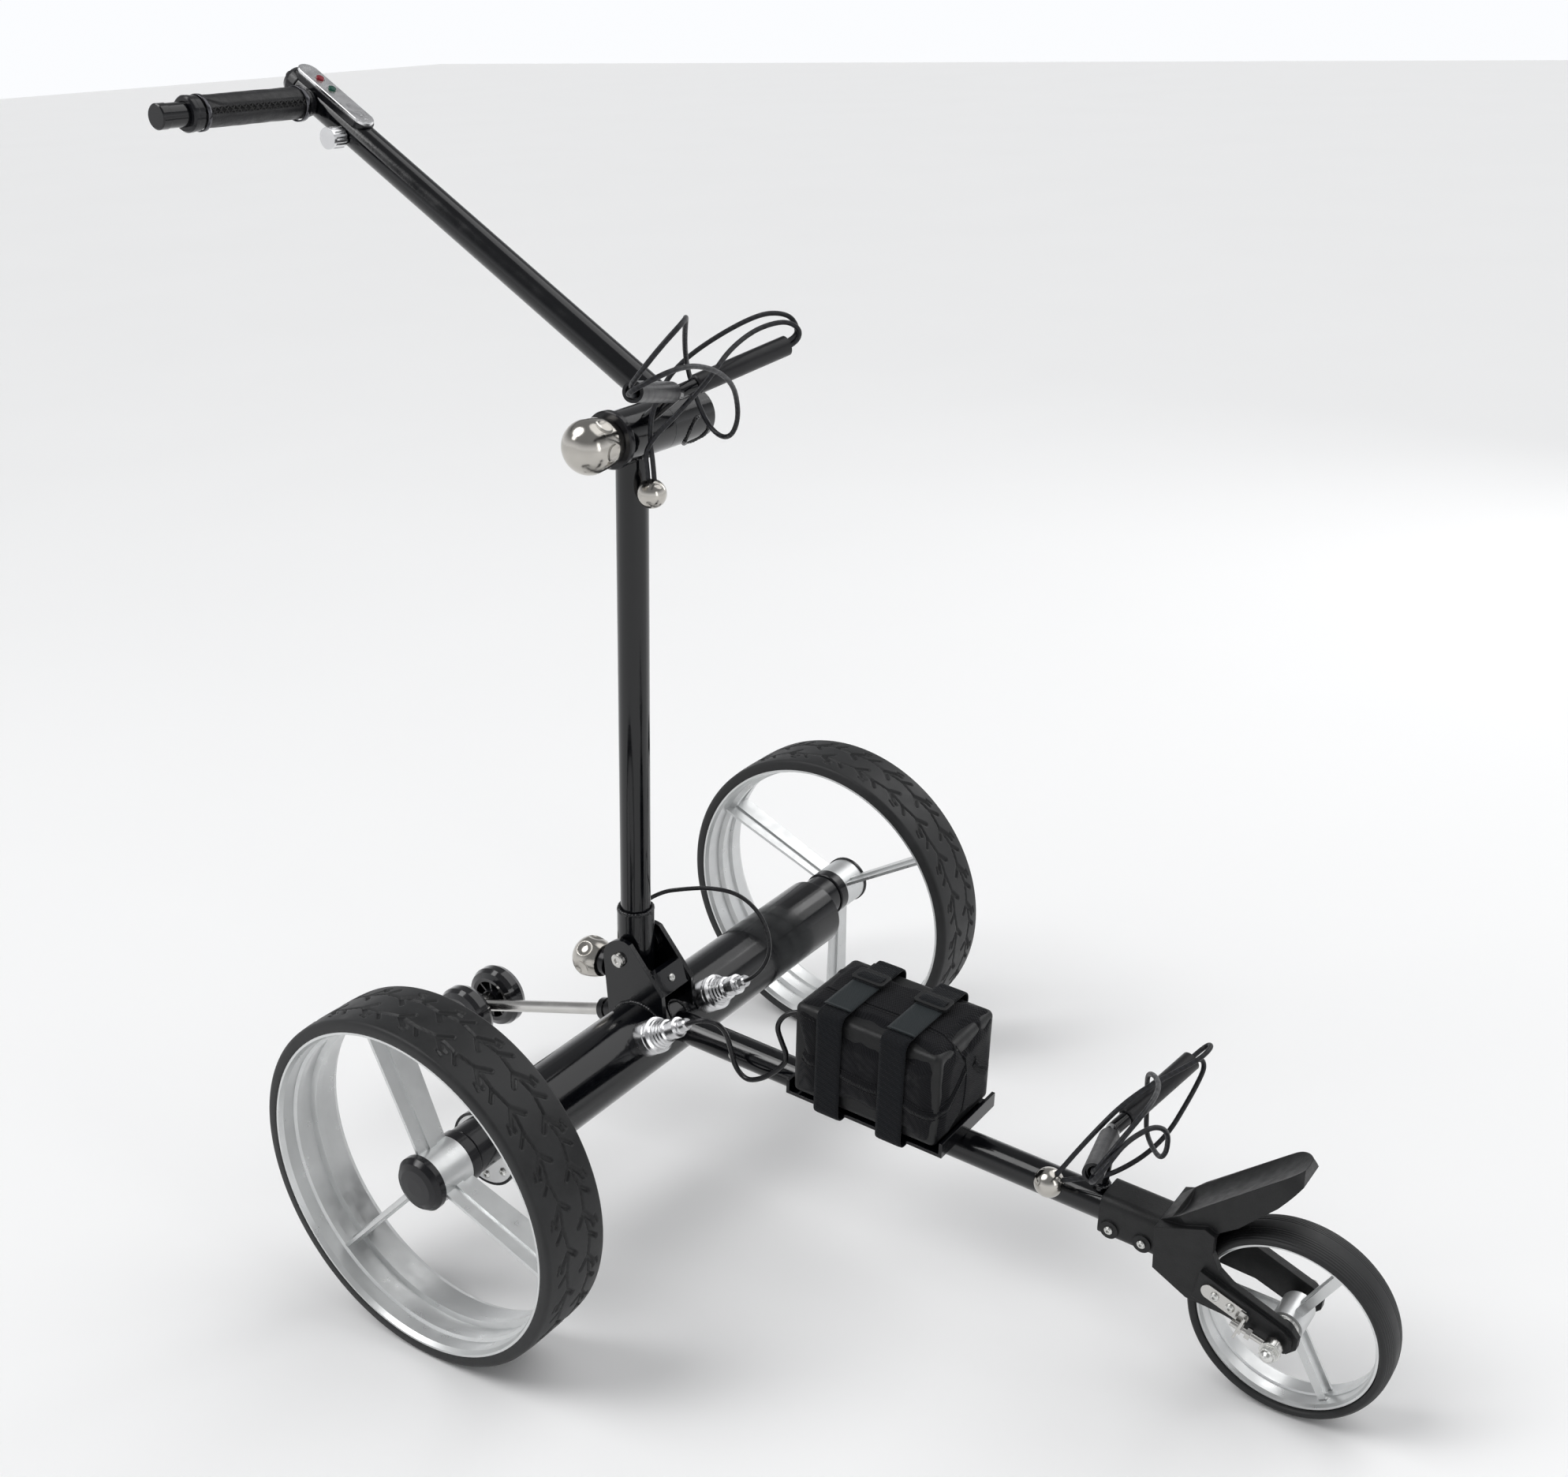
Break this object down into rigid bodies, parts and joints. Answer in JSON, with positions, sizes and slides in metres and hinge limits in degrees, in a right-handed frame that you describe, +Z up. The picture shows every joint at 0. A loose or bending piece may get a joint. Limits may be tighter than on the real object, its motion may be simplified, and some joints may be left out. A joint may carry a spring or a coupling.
{
  "type": "electric golf trolley",
  "caption": "Three-wheeled electric golf trolley with tubular frame, motorised axle tube, folding upright and offset handle, bag cradles, battery bag and anti-tip wheels.",
  "frame": {"origin": "on the ground under the middle of the outline, less its cords and cables", "axes": "+X forward, the way the trolley rolls, +Y to its left, +Z up"},
  "size_m": [1.1407, 0.6756, 1.01],
  "materials": {
    "black_paint": "gloss",
    "steel": "satin",
    "chrome": "polished",
    "silver": "satin",
    "motor": "satin",
    "black_plastic": "matte",
    "gloss_black": "gloss",
    "plug": "satin",
    "tyre": "matte",
    "polyurethane": "gloss",
    "sleeve": "satin",
    "cable": "satin",
    "elastic": "woven",
    "nylon": "ribbed",
    "webbing": "webbing",
    "leather": "satin",
    "red": "gloss",
    "green": "gloss"
  },
  "bodies": {
    "chassis": {"main_tube": "black_paint", "end_plates": "silver", "axle_bosses": "gloss_black", "drive_motors": "motor", "chassis_screws": "steel", "frame_tube": "black_paint", "hinge_bracket": "black_paint", "hinge_pin": "steel", "battery_tray": "black_paint", "battery_pack": "black_plastic", "battery_bag": "nylon", "bag_straps": "webbing", "strap_buckles": "black_plastic", "fork_body": "black_plastic", "tracking_adjuster": "steel", "front_axle": "steel", "anti_tip_socket": "black_paint", "signal_connector": "plug", "power_connector": "plug", "signal_cable": "cable", "battery_cable": "cable", "lower_bracket": "black_paint", "lower_bracket_sleeves": "sleeve", "lower_cord_loop": "elastic", "lower_cord_strands": "elastic", "lower_ball": "chrome"},
    "right_wheel": {"right_drive_shaft": "steel", "right_rear_rim": "silver", "right_rear_tyre": "tyre", "right_hub_trim": "gloss_black"},
    "left_wheel": {"left_drive_shaft": "steel", "left_rear_rim": "silver", "left_rear_tyre": "tyre", "left_hub_trim": "gloss_black"},
    "front_wheel": {"front_rim": "silver", "front_tyre": "tyre", "front_bearings": "steel"},
    "anti_tip": {"anti_tip_rod": "steel"},
    "right_skate": {"right_skate_wheel": "polyurethane"},
    "left_skate": {"left_skate_wheel": "polyurethane"},
    "upright": {"foot_sleeve": "black_paint", "upright_tube": "black_paint", "knob_collars": "gloss_black", "upper_bracket": "black_paint", "upper_bracket_sleeves": "sleeve", "upper_cord_loop": "elastic", "upper_cord_strands": "elastic", "upper_ball": "chrome"},
    "lower_clamp": {"lower_knob": "chrome"},
    "upper_clamp": {"upper_knob": "chrome"},
    "handle": {"handle_tube": "black_paint", "tube_cap": "gloss_black", "grip_bar": "black_paint", "leather_grip": "leather", "grip_collars": "gloss_black", "panel_housing": "black_plastic", "control_panel": "silver"},
    "dial": {"speed_dial": "silver"},
    "red_key": {"red_button": "red"},
    "green_key": {"green_button": "green"}
  },
  "joints": [
    {"name": "right_wheel_spin", "type": "hinge", "parent": "chassis", "child": "right_wheel", "pos_m": [-0.14313, -0.3, 0.16], "axis": [0, 1, 0], "continuous": true},
    {"name": "left_wheel_spin", "type": "hinge", "parent": "chassis", "child": "left_wheel", "pos_m": [-0.14313, 0.3, 0.16], "axis": [0, 1, 0], "continuous": true},
    {"name": "front_wheel_spin", "type": "hinge", "parent": "chassis", "child": "front_wheel", "pos_m": [0.48687, 0, 0.0835], "axis": [0, 1, 0], "continuous": true},
    {"name": "anti_tip_slide", "type": "slide", "parent": "chassis", "child": "anti_tip", "axis": [-0.9617, 0, -0.2741], "range_m": [0, 0.02]},
    {"name": "right_skate_spin", "type": "hinge", "parent": "anti_tip", "child": "right_skate", "pos_m": [-0.37913, -0.02, 0.097], "axis": [0, 1, 0], "continuous": true},
    {"name": "left_skate_spin", "type": "hinge", "parent": "anti_tip", "child": "left_skate", "pos_m": [-0.37913, 0.02, 0.097], "axis": [0, 1, 0], "continuous": true},
    {"name": "upright_fold", "type": "hinge", "parent": "chassis", "child": "upright", "pos_m": [-0.16443, 0, 0.225], "axis": [0, 1, 0], "range_deg": [0, 65]},
    {"name": "lower_knob_turn", "type": "hinge", "parent": "upright", "child": "lower_clamp", "pos_m": [-0.20513, 0, 0.2005], "axis": [-1, 0, 0], "range_deg": [-180, 180]},
    {"name": "upper_knob_turn", "type": "hinge", "parent": "upright", "child": "upper_clamp", "pos_m": [-0.12893, -0.0314, 0.7233], "axis": [0, -1, 0], "range_deg": [-180, 180]},
    {"name": "handle_fold", "type": "hinge", "parent": "upright", "child": "handle", "pos_m": [-0.12893, 0, 0.7233], "axis": [0, -1, 0], "range_deg": [-30, 110]},
    {"name": "speed_turn", "type": "hinge", "parent": "handle", "child": "dial", "pos_m": [-0.49199, 0.05, 0.94809], "axis": [0, -1, 0], "range_deg": [0, 270]},
    {"name": "red_press", "type": "slide", "parent": "handle", "child": "red_key", "axis": [-0.5344, 0, -0.8453], "range_m": [0, 0.0012], "stiffness_N_per_m": 400},
    {"name": "green_press", "type": "slide", "parent": "handle", "child": "green_key", "axis": [-0.5344, 0, -0.8453], "range_m": [0, 0.0012], "stiffness_N_per_m": 400}
  ]
}
